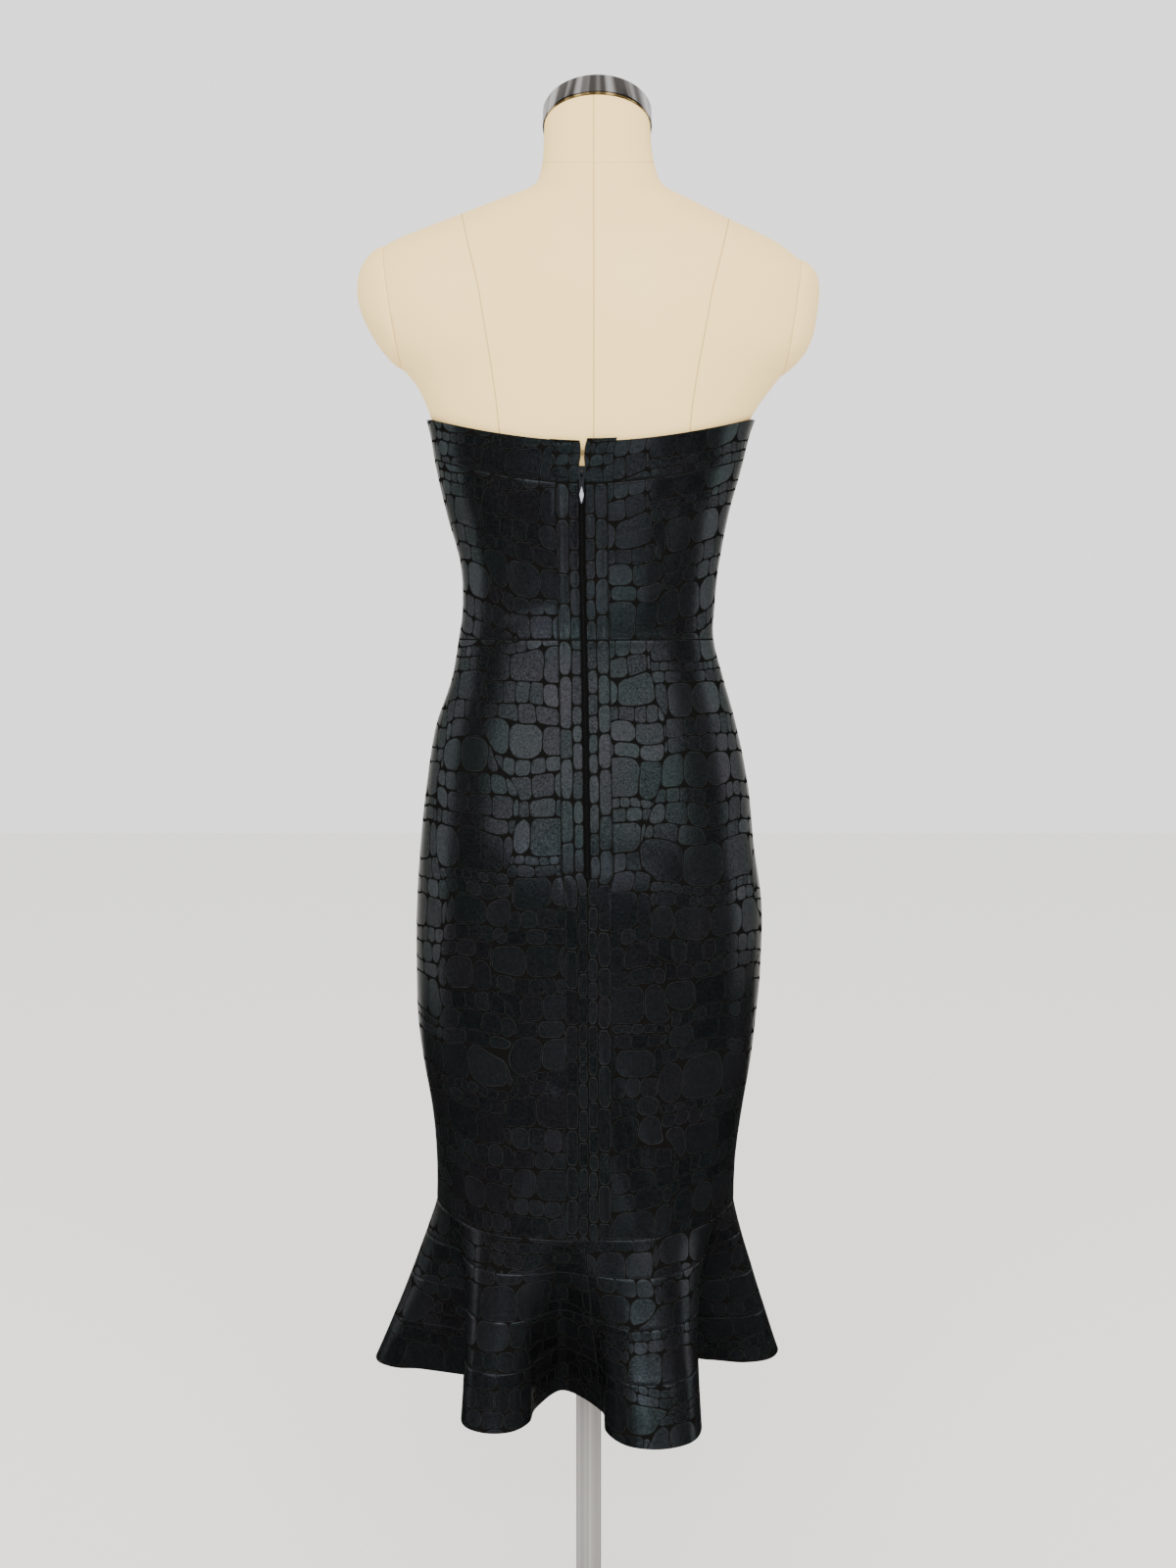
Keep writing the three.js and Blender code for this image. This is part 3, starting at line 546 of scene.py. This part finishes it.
def bodyShape(which, zipEdge):
    def shape(angle, z, left, right, down, above, at):
        lift = seamShape(left if zipEdge != "left" or z < size["zipEnd"] else 99)
        lift += seamShape(right if zipEdge != "right" or z < size["zipEnd"] else 99)
        lift += seamShape(down) + seamShape(above)
        near = {"left": left, "right": right, None: 200.0}[zipEdge]
        wide = strip["wide"] if z > strip["end"] else strip["below"]
        high = strip["high"] if z > strip["end"] else strip["belowHigh"]
        lift += high * (1 - smooth(near, wide - 0.8, wide + 0.8))
        lift -= 0.4 * exp(-((near - wide - 1.2) / 1.1) ** 2)
        lift += 0.4 * exp(-((near - wide + 3.2) / 1.8) ** 2)
        if zipEdge and z > size["zipEnd"]:
            lift += 0.4 * exp(-((near - 1.2) / 1.2) ** 2) - 0.5 * exp(-(near / 0.7) ** 2)
        sideD = min(left, right) if zipEdge is None else (right if zipEdge == "left" else left)
        pucker = noise.noise(Vector((z * 0.11, angle * 0.02, 3.0)))
        lift += 0.35 * pucker * exp(-sideD / 9)
        lift += 0.3 * noise.noise(Vector((at.x * 0.10, at.y * 0.10, z * 0.02))) * exp(-min(down, above) / 8)
        lift += 0.35 * noise.noise(Vector((at.x * 0.018, at.y * 0.018, z * 0.016)))
        front = cos(radians(angle)) < 0
        marks = "front" if which == "skirt" and front else which
        if marks in creases and not (marks == "bodice" and front):
            lift += creaseShape(creases[marks], at.x, z)
        return lift
    return shape


def bodyPieces():
    tiers = {
        "top_band": {"low": bandSeam, "high": topEdge, "tall": 37, "step": 4.0,
                     "seams": (True, False)},
        "bodice": {"low": level(size["waist"]), "high": bandSeam, "tall": 155, "step": 5.0,
                   "seams": (True, True)},
        "skirt": {"low": level(size["flounce"]), "high": level(size["waist"]), "tall": 551, "step": 6.0,
                  "seams": (True, True)},
    }
    strips = [12, 14, 15.8, 16.6, 17.4, 18.2, 19.8, 20.6, 21.4, 22.2, 23.4]
    for tier, row in tiers.items():
        sides = {
            "front": {"start": lambda z: 90, "end": lambda z: 270, "wide": 400, "step": 9.0,
                      "zip": None, "more": (), "cloth": crocFront, "zero": 0.5},
            "back_left": {"start": openLeft, "end": lambda z: 90, "wide": 205, "step": 5.5,
                          "zip": "left", "more": strips, "cloth": crocLeft, "zero": 0},
            "back_right": {"start": lambda z: 270, "end": openRight, "wide": 205, "step": 5.5,
                           "zip": "right", "more": [205 - s for s in strips], "cloth": crocRight, "zero": 1},
        }
        for side, col in sides.items():
            name = f"{tier}_{side}"
            across = spread(col["wide"], col["step"], col["more"])
            up = spread(row["tall"], row["step"])

            def printAt(run, i, j, wide, start=col["zero"]):
                return run[i, j][0] - start * wide, run[i, j][1] - run[i, len(up) - 1][1]
            clothShell(f"cloth_{name}", name, dressPoint, col["start"], col["end"], row["low"], row["high"],
                       across, up, col["cloth"], bodyShape(tier, col["zip"]), printAt, col["zip"], row["seams"])


bodyPieces()
print("body pieces")


def flounceShape(angle, z, left, right, down, above, at):
    lift = seamShape(min(left, right), 0.2, 0.05) + seamShape(above, 0.5, 0.05) + seamShape(down, 0.15, 0.05)
    lift += 0.35 * noise.noise(Vector((at.x * 0.09, at.y * 0.09, z * 0.03))) * exp(-min(down, above) / 7)
    lift += 0.5 * noise.noise(Vector((at.x * 0.02, at.y * 0.02, z * 0.02)))
    return lift


def flouncePieces():
    # columns: even along the hem, about 4 mm apart
    places, lengths = [], [0.0]
    last = Vector(hemPoint(0.0))
    for i in range(1, 7201):
        here = Vector(hemPoint(round(i / 20, 4) if i < 7200 else 359.99))
        lengths.append(lengths[-1] + (here - last).length)
        last = here
    count = round(lengths[-1] / 4.0)
    ends = [d for d in nearEdge if d < 10]
    even = [lengths[-1] * i / count for i in range(3, count - 2)]
    wanted = sorted(set(ends + [lengths[-1] - d for d in ends] + even))
    i = 0
    for want in wanted:
        while i < 7199 and lengths[i + 1] < want:
            i += 1
        places.append(clamp((i + (want - lengths[i]) / max(lengths[i + 1] - lengths[i], 1e-6)) / 7200))
    for k, (top, bottom) in enumerate(zip(bandSeams, bandSeams[1:])):
        up = spread((top - bottom) * 1.25, 4.0)

        def printAt(run, i, j, wide):
            return run[i, len(up) // 2][0], run[i, j][1] - run[i, len(up) - 1][1]
        # each band's upper edge tucks 0.5 mm under the one above
        clothShell(f"cloth_flounce_{k + 1}", f"flounce_band_{k + 1}", flouncePoint, lambda z: 0.0,
                   lambda z: 360.0, level(bottom), level(top + 0.5), places, up, crocFlounce[k],
                   flounceShape, printAt, None, (bottom > size["hem"], True))


flouncePieces()
print("flounce bands")


# zip
def plainMaterial(name, colour, rough, metal=0.0, bumpScale=0.0, bumpDeep=0.0, gloss=0.5):
    n = Nodes(name, colour, Roughness=rough, Metallic=metal, Specular_IOR_Level=gloss)
    if bumpScale:
        grain = n.noise(n.place(), bumpScale, 2.0)
        n.feed(Normal=n.bump(grain, bumpDeep, 0.5))
    return n.material


tapeMaterial = plainMaterial("zip tape", (0.004, 0.004, 0.004), 0.8, bumpScale=900.0, bumpDeep=0.0003,
                             gloss=0.1)
coilMaterial = plainMaterial("zip coil", (0.003, 0.003, 0.003), 0.4, gloss=0.12)
zipMetal = plainMaterial("zip metal", (0.035, 0.035, 0.037), 0.22, metal=1.0)


def tabMaterial():  # dark plating; its lower end is painted bright, a painted glint of reflected light
    n = Nodes("zip pull", (0.03, 0.03, 0.032), Metallic=1.0, Roughness=0.22)
    x, y, z = n.split(n.place())
    # painted highlight: a bright patch painted on the lower end of the tab
    paintedGlint = ((1.0 - abs(x - 0.0065) / 0.0022 - abs(z - 1.159) / 0.0085) * 4.0).unit()
    return n.feed(Base_Color=n.mix((0.03, 0.03, 0.032, 1), (0.8, 0.8, 0.8, 1), paintedGlint))


def bendStrip(bm, low, high, levels, out, columns=4):  # a strip along the zip, low and high from its middle
    places = rings(bm, lambda a, z: movedOut(dressPoint, a, z, out), lambda z: backSeam(z, low),
                   lambda z: backSeam(z, high), level(strip["end"]), level(size["zipTop"]),
                   [i / columns for i in range(columns + 1)], levels)
    bm.normal_update()
    if places[0, 0][0].normal.y < 0:
        bmesh.ops.reverse_faces(bm, faces=bm.faces[:])
    for vert, angle, z in places.values():
        vert.co *= mm


def zipPieces():
    out = -2.15  # behind the lips of the cloth
    for side, low, high in (("left", 0.02, 8.0), ("right", -8.0, -0.02)):
        bm = bmesh.new()
        bendStrip(bm, low, high, [i / 60 for i in range(61)], out)
        bmesh.ops.solidify(bm, geom=bm.faces[:], thickness=0.35 * mm)
        addPiece(f"tape_{side}", bm, tapeMaterial, f"zip_tape_{side}")
    bm = bmesh.new()
    pitch = 1.5
    count = int((size["zipTop"] - size["zipEnd"] - 4) / pitch)
    for i in range(count):
        z = size["zipEnd"] + 4 + i * pitch
        across = movedOut(dressPoint, backSeam(z, (0.55 if i % 2 else -0.55)), z, 0.15)
        tooth = bmesh.ops.create_cube(bm, size=1.0)["verts"]
        bmesh.ops.scale(bm, vec=(2.7 * mm, 1.1 * mm, 0.95 * mm), verts=tooth)
        lean = Matrix.Rotation(radians(9 if i % 2 else -9), 3, "Y")
        bmesh.ops.rotate(bm, cent=(0, 0, 0), matrix=lean, verts=tooth)
        bmesh.ops.translate(bm, vec=across * mm, verts=tooth)
    bmesh.ops.bevel(bm, geom=bm.edges[:], offset=0.22 * mm, offset_type="OFFSET", affect="EDGES", segments=1,
                    profile=0.5, material=-1)
    addPiece("coil", bm, coilMaterial, "zip_coil")


zipPieces()


def blockPieces():
    wide = degrees(26 / (sectionAt(size["slider"])[0] + size["ease"] + size["wall"]))
    sides = {
        "left": {"start": openLeft, "end": lambda z: openLeft(z) + wide, "rise": 0.5},
        "right": {"start": lambda z: openRight(z) - wide, "end": openRight, "rise": 2.5},
    }
    for side, row in sides.items():
        across, up = spread(26, 2.5), spread(38, 3.0)
        surface = lambda a, z, out=0.0: movedOut(dressPoint, a, z, 1.5 + out)

        def shape(angle, z, left, right, down, above, at):
            edge = min(left, right, down, above)
            crumple = noise.noise(Vector((at.x * 0.16, at.y * 0.1, z * 0.14)))
            lift = -0.5 * exp(-(edge / 0.9) ** 2) + 0.35 * crumple
            return lift - 0.35 * exp(-((edge - 2.2) / 0.7) ** 2)
        piece = clothShell(f"cloth_block_{side}", f"band_block_{side}", surface, row["start"], row["end"],
                           lambda a: bandSeam(a) + 0.15, lambda a, rise=row["rise"]: topEdge(a) + rise,
                           across, up, crocBand, shape, lambda run, i, j, wide: run[i, j])
        piece.modifiers["thickness"].thickness = 1.2 * mm


blockPieces()
print("zip and blocks")


def copyOf(node, name, material, bevel, body="dress_form"):
    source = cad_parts[node]
    bm = bmesh.new()
    bm.from_mesh(source.data)
    bmesh.ops.remove_doubles(bm, verts=bm.verts[:], dist=1e-6)
    bmesh.ops.transform(bm, matrix=source.matrix_world, verts=bm.verts[:])
    bmesh.ops.dissolve_limit(bm, angle_limit=radians(2), verts=bm.verts[:], edges=bm.edges[:])
    bmesh.ops.recalc_face_normals(bm, faces=bm.faces[:])
    piece = addPiece(name, bm, material, node, body, False)
    softenEdges(piece, "edges", bevel, 3, 35)


copyOf("zip_slider", "slider", zipMetal, 0.25)
copyOf("zip_pull_tab", "pull_tab", tabMaterial(), 0.2, "zip_pull")


def hookPiece():
    low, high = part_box("hook_and_eye")
    centre = (low + high) / 2
    bm = bmesh.new()
    for dz in (0.0012, -0.0012):
        circle = bmesh.ops.create_circle(bm, segments=10, radius=0.00028, cap_ends=False)["verts"]
        bmesh.ops.rotate(bm, cent=(0, 0, 0), matrix=Matrix.Rotation(radians(90), 3, "Y"), verts=circle)
        at = centre + Vector((0, 0, dz + 0.0009))
        bmesh.ops.translate(bm, vec=at, verts=circle)
        ringEdges = [e for e in bm.edges if all(v in circle for v in e.verts)]
        bmesh.ops.spin(bm, geom=circle + ringEdges, cent=centre + Vector((0, 0, dz)), axis=(0, 1, 0),
                       dvec=(0, 0, 0), angle=2 * pi, steps=20, use_merge=True, use_duplicate=False)
    bmesh.ops.recalc_face_normals(bm, faces=bm.faces[:])
    addPiece("hook_eye", bm, zipMetal, "hook_and_eye")


hookPiece()


# dress form
armhole = {"left": 184, "right": -192, "z": 1340, "low": 1258, "leanIn": 8}
neck = {"at": Vector((-8, -3, 1506)), "tilt": 25, "r": 51.5, "band": 20}
neckUp = Vector((0, -sin(radians(neck["tilt"])), cos(radians(neck["tilt"]))))
# back and front princess seams: height and distance from the middle seam
princess = {
    "left": [(1200, 80), (1240, 83.5), (1277, 88.5), (1345, 99.5), (1420, 117.5)],
    "right": [(1200, 91), (1240, 94), (1277, 99.5), (1345, 112), (1420, 131)],
}


def linenMaterial(name):
    n = Nodes(name, (0.78, 0.66, 0.48), Roughness=0.85, Specular_IOR_Level=0.25)
    place = n.place()
    x, y, z = n.split(place)
    warp = ((x * 3600.0).sin() + (z * 3600.0).sin()) * 0.5
    slub = n.noise(n.join(x * 60.0, y * 60.0, z * 900.0), 1.0)
    slub = slub + n.noise(n.join(x * 900.0, y * 900.0, z * 60.0), 1.0)
    cloudy = n.noise(place, 9.0, 2.0)

    def bend(rows):  # x of a seam at this height, on straight lines
        total = rows[0][1] * mm
        for a, b in zip(rows, rows[1:]):
            total = total + ((z - a[0] * mm) / ((b[0] - a[0]) * mm)).unit() * ((b[1] - a[1]) * mm)
        return total
    above = z > 1.2
    toSeam = abs(x + 0.0045)
    left, right = abs(x - bend(princess["left"])), abs(x + bend(princess["right"]))
    toSeam = toSeam.min(left).min(right)
    collar = abs(z + y * 0.25 - 1.4755) + 0.0004
    toSeam = toSeam.min(collar)
    grooveAndPaintedShade = (1 - toSeam / 0.0014).unit()
    grooveAndPaintedShade = grooveAndPaintedShade * grooveAndPaintedShade * above
    stitch = (1 - abs(toSeam - 0.0022) / 0.0006).unit() * ((z * 2600.0).sin() * 1.5).unit() * above
    colour = n.mix((0.95, 0.70, 0.31, 1), (0.90, 0.63, 0.25, 1), (cloudy * 0.7 + slub * 0.15 - 0.1).unit())
    # painted shade: the linen colour is darkened along the seam grooves
    colour = n.tint(colour, (0.42, 0.34, 0.25, 1), grooveAndPaintedShade * 0.7)
    height = warp * 0.05 + slub * 0.16 - grooveAndPaintedShade * 1.2 - stitch * 0.15
    return n.feed(Base_Color=colour, Normal=n.bump(height, 0.0006, 0.7))


linen = linenMaterial("linen of the form")


def formLoft():
    bm = bmesh.new()
    columns = 144
    heights = sorted(set([665, 670, 680] + [700 + 25 * i for i in range(20)] + [1200 + 4 * i for i in range(60)]
                         + [1440 + 5 * i for i in range(22)]))
    bmesh.ops.create_grid(bm, x_segments=columns, y_segments=len(heights) - 1, size=0.5)
    for vert in bm.verts:
        i, j = round((vert.co.x + 0.5) * columns), round((vert.co.y + 0.5) * (len(heights) - 1))
        z = heights[j]
        slim = size["under"] * (1 - smooth(z, 1190, 1250))
        vert.co = sectionPoint(360 * i / columns, z, -slim, False) * mm
    bmesh.ops.remove_doubles(bm, verts=bm.verts[:], dist=1e-5)
    bmesh.ops.holes_fill(bm, edges=[e for e in bm.edges if e.is_boundary], sides=0)
    bmesh.ops.recalc_face_normals(bm, faces=bm.faces[:])
    return bm


def cutOff(bm, at, normal, above=None):  # keeps what is behind the plane, and closes the cut
    geom = bm.verts[:] + bm.edges[:] + bm.faces[:]
    if above is not None:
        faces = [f for f in bm.faces if f.calc_center_median().z > above]
        edges = list({e for f in faces for e in f.edges})
        verts = list({v for f in faces for v in f.verts})
        geom = verts + edges + faces
    cut = bmesh.ops.bisect_plane(bm, geom=geom, plane_co=at, plane_no=normal, clear_outer=True)["geom_cut"]
    edges = [e for e in cut if isinstance(e, bmesh.types.BMEdge) and e.is_valid]
    bmesh.ops.holes_fill(bm, edges=edges, sides=0)


def formPieces():
    normals = {}
    for side, sign in (("left", 1), ("right", -1)):
        lean = radians(armhole["leanIn"])
        normals[side] = Vector((sign * cos(lean), 0, -sin(lean)))
    bm = formLoft()
    cutOff(bm, neck["at"] * mm, neckUp)
    for side in normals:
        cutOff(bm, Vector((armhole[side], 0, armhole["z"])) * mm, normals[side], armhole["low"] * mm)
    bmesh.ops.recalc_face_normals(bm, faces=bm.faces[:])
    torso = addPiece("torso", bm, linen, "form_torso")
    softenEdges(torso, "seam edges", 1.6, 2, 50)
    for side, normal in normals.items():
        bm = formLoft()
        at = (Vector((armhole[side], 0, armhole["z"])) + normal * size["seam"]) * mm
        cutOff(bm, at, -normal)
        # what is left of the hips is dropped
        loose = [f for f in bm.faces if f.calc_center_median().z < 1.2]
        bmesh.ops.delete(bm, geom=loose, context="FACES")
        for vert in bm.verts:  # stuffed a little fuller than the torso, and gathered into the seam
            off = (vert.co - at).dot(normal) / mm
            gather = noise.noise(Vector((vert.co.z * 190, vert.co.y * 160, 5.0 * off / 40)))
            full = 2.6 * (1 - exp(-off / 3)) + 1.5 * gather * exp(-off / 9) * (1 - exp(-off / 1.5))
            vert.co += vert.normal * (full * mm)
        bmesh.ops.recalc_face_normals(bm, faces=bm.faces[:])
        cap = addPiece(f"arm_cap_{side}", bm, linen, f"form_arm_cap_{side}")
        softenEdges(cap, "seam edges", 2.4, 3, 50)


formPieces()
print("form")


# metal of the stand
def brushedMaterial(name, dark, light, rough, metal):  # brushed round its own upright axis; the dark and light bands round that axis are painted reflections
    n = Nodes(name, light, Metallic=metal)
    x, y, z = n.split(n.place())
    turn = n.value("ARCTAN2", y + 0.003, x + 0.008)
    streak = n.noise(n.join(x * 40.0, y * 40.0, z * 2600.0), 1.0, 2.0)
    # painted reflection: dark and light bands round the upright axis are mixed into the colour
    bands = n.noise(n.join(turn * 3.1, 0.0, 0.0), 1.0, 1.5).step(0.44, 0.64)
    return n.feed(Base_Color=n.mix((*dark, 1), (*light, 1), bands), Roughness=rough + (streak - 0.5) * 0.10,
                  Normal=n.bump(streak, 0.00003, 0.2))


# the dark and light colours are the tones of the painted reflection bands, for the ring and for the stand
ringSteel = brushedMaterial("brushed steel of the neck ring", (0.055, 0.05, 0.046), (0.34, 0.33, 0.315),
                            0.25, 1.0)
steel = brushedMaterial("brushed steel of the stand", (0.46, 0.45, 0.43), (0.62, 0.61, 0.585), 0.36, 0.55)


def turned(name, profile, node, steps, place=None, metal=steel):
    bm = bmesh.new()
    verts = [bm.verts.new((r * mm, 0, z * mm)) for r, z in profile]
    edges = [bm.edges.new(pair) for pair in zip(verts, verts[1:])]
    bmesh.ops.spin(bm, geom=verts + edges, cent=(0, 0, 0), axis=(0, 0, 1), dvec=(0, 0, 0), angle=2 * pi,
                   steps=steps, use_merge=True, use_duplicate=False)
    bmesh.ops.remove_doubles(bm, verts=bm.verts[:], dist=1e-6)
    bmesh.ops.recalc_face_normals(bm, faces=bm.faces[:])
    if place:
        bmesh.ops.transform(bm, matrix=place, verts=bm.verts[:])
    piece = addPiece(name, bm, metal, node)
    softenEdges(piece, "edges", 0.6, 3, 28).harden_normals = True


def standPieces():
    band = neck["band"]
    capPlace = (Matrix.Translation((neck["at"] + neckUp * size["seam"]) * mm)
                @ Matrix.Rotation(radians(neck["tilt"]), 4, "X"))
    turned("neck_ring", [
        (0, 0), (50.7, 0), (51.5, 1), (51.5, band - 2), (51.2, band - 1), (50, band), (38, band + 4.5),
        (20, band + 8), (8, band + 9), (6, band + 12), (6, band + 20), (9, band + 24), (11, band + 30),
        (10, band + 35), (6, band + 38.5), (0, band + 40)], "neck_cap", 96, capPlace, ringSteel)
    turned("flange", [(0, 658.7), (38, 658.7), (38, 664.7), (0, 664.7)], "pole_flange", 64)
    turned("stand_pole", [(0, 6.3), (12.5, 6.3), (12.5, 658.4), (0, 658.4)], "pole", 64)
    turned("stand_base", [
        (0, 0), (143, 0), (145, 2), (145, 7), (142, 10), (26, 13), (22, 17), (21, 55), (20, 56), (12.9, 56),
        (12.9, 6), (0, 6)], "base", 128)


standPieces()
print("stand")

# floor, light and camera
def card(name, across, tall, place, turn, colour):
    bm = bmesh.new()
    bmesh.ops.create_grid(bm, x_segments=1, y_segments=1, size=0.5)
    bmesh.ops.scale(bm, vec=(across, tall, 1), verts=bm.verts[:])
    mesh = bpy.data.meshes.new(name)
    bm.to_mesh(mesh)
    bm.free()
    mesh.materials.append(Nodes(name, colour, Roughness=0.9, Specular_IOR_Level=0.1).material)
    piece = bpy.data.objects.new(name, mesh)
    piece.location = place
    piece.rotation_euler = turn
    bpy.context.collection.objects.link(piece)
    return piece


card("floor", 14, 14, (0, 0, 0), (0, 0, 0), (0.90, 0.885, 0.865))

world = bpy.data.worlds.new("room")
world.use_nodes = True
world.node_tree.nodes["Background"].inputs[0].default_value = (0.93, 0.92, 0.92, 1)
world.node_tree.nodes["Background"].inputs[1].default_value = 1.95
bpy.context.scene.world = world


def flag(name, across, tall, place, turn):  # a dark card that only shows in reflections
    piece = card(name, across, tall, place, turn, (0.03, 0.03, 0.032))
    piece.visible_camera = piece.visible_diffuse = piece.visible_shadow = False
    piece.visible_transmission = False


flag("low_flag", 6.5, 3.94, (0, 2.6, -0.43), (radians(90), 0, 0))
flag("floor_flag", 5.2, 4.6, (0, 0.35, 0.02), (0, 0, 0))
for side in (-1, 1):
    flag(f"side_flag_{side}", 2.46, 4.6, (side * 2.4, 1.17, 1.6), (radians(90), 0, radians(side * 66)))


def softLight(name, across, tall, place, aim, power, colour, shows):
    data = bpy.data.lights.new(name, "AREA")
    data.shape, data.size, data.size_y = "RECTANGLE", across, tall
    data.energy, data.color = power, colour
    light = bpy.data.objects.new(name, data)
    light.location = place
    light.rotation_mode = "QUATERNION"
    light.rotation_quaternion = (Vector(aim) - Vector(place)).to_track_quat("-Z", "Y")
    light.visible_camera = False
    light.visible_glossy = shows == "glossy"
    light.visible_diffuse = shows == "diffuse"
    bpy.context.collection.objects.link(light)


softLight("softbox", 5.4, 2.4, (0, 4.4, 3.15), (0, 0, 1.0), 340, (1.0, 0.96, 0.88), "diffuse")
# the others are only seen in the foil
softLight("window", 5.4, 2.4, (0, 4.4, 3.15), (0, 0, 1.0), 112, (0.82, 0.94, 1.0), "glossy")
softLight("low_glow", 0.98, 0.14, (-0.29, 1.25, 0.855), (-0.29, 0, 0.855), 1.0, (0.86, 0.95, 1.0), "glossy")
softLight("crest_glow", 1.9, 0.3, (0.6, 2.5, 1.22), (0.1, 0, 0.4), 7.0, (0.82, 0.94, 1.0), "glossy")
softLight("floor_glow", 1.1, 0.9, (0.1, 1.25, 0.05), (0.1, 1.25, 1.0), 1.2, (0.9, 0.95, 1.0), "glossy")

camera = bpy.data.objects.new("camera", bpy.data.cameras.new("camera"))
camera.data.sensor_width = 36
camera.data.lens = 41.56
camera.location = (0.0007, 1.75, 1.05)
camera.rotation_euler = (radians(90 - 5.3), 0, radians(180))
bpy.context.collection.objects.link(camera)
bpy.context.scene.camera = camera

print("floor, light and camera")
